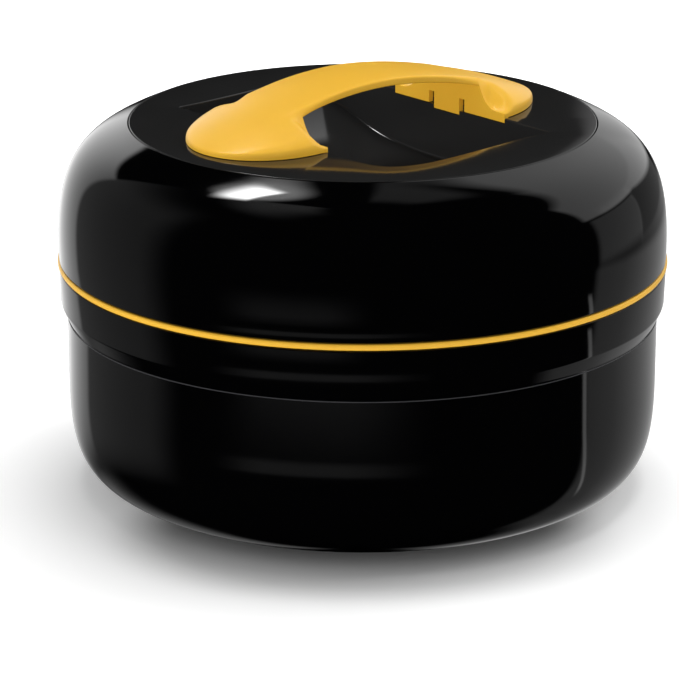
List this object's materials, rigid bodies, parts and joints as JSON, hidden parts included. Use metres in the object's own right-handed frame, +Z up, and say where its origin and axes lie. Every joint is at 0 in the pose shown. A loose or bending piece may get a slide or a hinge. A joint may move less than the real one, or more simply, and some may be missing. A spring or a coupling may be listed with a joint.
{
  "type": "insulated lunch box",
  "caption": "Round foam-walled lunch box with a domed twist-lock lid, a coloured trim ring, a bridge handle over a finger recess, and lidded dishes inside.",
  "frame": {"origin": "centre of the base, on the surface that the box stands on", "axes": "+Z up along the round axis, +X along the handle, +Y over the long side of the finger recess"},
  "size_m": [0.248, 0.248, 0.1719],
  "materials": {
    "shell": "high-gloss moulded black",
    "plate": "semi-gloss moulded black",
    "liner": "fine satin moulded charcoal",
    "accent": "satin moulded warm yellow",
    "foam": "matt rigid foam",
    "seal": "soft matt grey",
    "dish": "smooth off-white",
    "dish_lid": "satin pale yellow"
  },
  "bodies": {
    "bowl": {"bowl_outer_shell": "shell", "bowl_base_plug": "plate", "bowl_insulation": "foam", "bowl_inner_liner": "liner"},
    "rim": {"trim_ring": "accent", "lid_seal": "seal"},
    "lid": {"lid_outer_shell": "shell", "lid_top_plate": "plate", "lid_insulation": "foam", "lid_inner_liner": "liner", "handle": "accent"},
    "round_dish": {"round_dish": "dish"},
    "round_dish_lid": {"round_dish_lid": "dish_lid", "round_dish_seal": "seal"},
    "left_dish": {"left_dish": "dish"},
    "left_dish_lid": {"left_dish_lid": "dish_lid", "left_dish_seal": "seal"},
    "right_dish": {"right_dish": "dish"},
    "right_dish_lid": {"right_dish_lid": "dish_lid", "right_dish_seal": "seal"}
  },
  "joints": [
    {"name": "lid_lift", "type": "slide", "parent": "bowl", "child": "rim", "axis": [0, 0, 1], "range_m": [0, 0.15]},
    {"name": "lid_twist", "type": "hinge", "parent": "rim", "child": "lid", "pos_m": [0, 0, 0.0945], "axis": [0, 0, -1], "range_deg": [0, 45]},
    {"name": "round_dish_lift", "type": "slide", "parent": "bowl", "child": "round_dish", "axis": [0, 0, 1], "range_m": [0, 0.03]},
    {"name": "round_dish_lid_lift", "type": "slide", "parent": "round_dish", "child": "round_dish_lid", "axis": [0, 0, 1], "range_m": [0, 0.03]},
    {"name": "left_dish_lift", "type": "slide", "parent": "bowl", "child": "left_dish", "axis": [0, 0, 1], "range_m": [0, 0.09]},
    {"name": "left_dish_lid_lift", "type": "slide", "parent": "left_dish", "child": "left_dish_lid", "axis": [0, 0, 1], "range_m": [0, 0.03]},
    {"name": "right_dish_lift", "type": "slide", "parent": "bowl", "child": "right_dish", "axis": [0, 0, 1], "range_m": [0, 0.09]},
    {"name": "right_dish_lid_lift", "type": "slide", "parent": "right_dish", "child": "right_dish_lid", "axis": [0, 0, 1], "range_m": [0, 0.03]}
  ],
  "couplings": [
    {"joint": "round_dish_lift", "follows": "lid_lift", "ratio": 0.2},
    {"joint": "round_dish_lid_lift", "follows": "lid_lift", "ratio": 0.2},
    {"joint": "left_dish_lift", "follows": "lid_lift", "ratio": 0.6},
    {"joint": "left_dish_lid_lift", "follows": "lid_lift", "ratio": 0.2},
    {"joint": "right_dish_lift", "follows": "lid_lift", "ratio": 0.6},
    {"joint": "right_dish_lid_lift", "follows": "lid_lift", "ratio": 0.2}
  ]
}
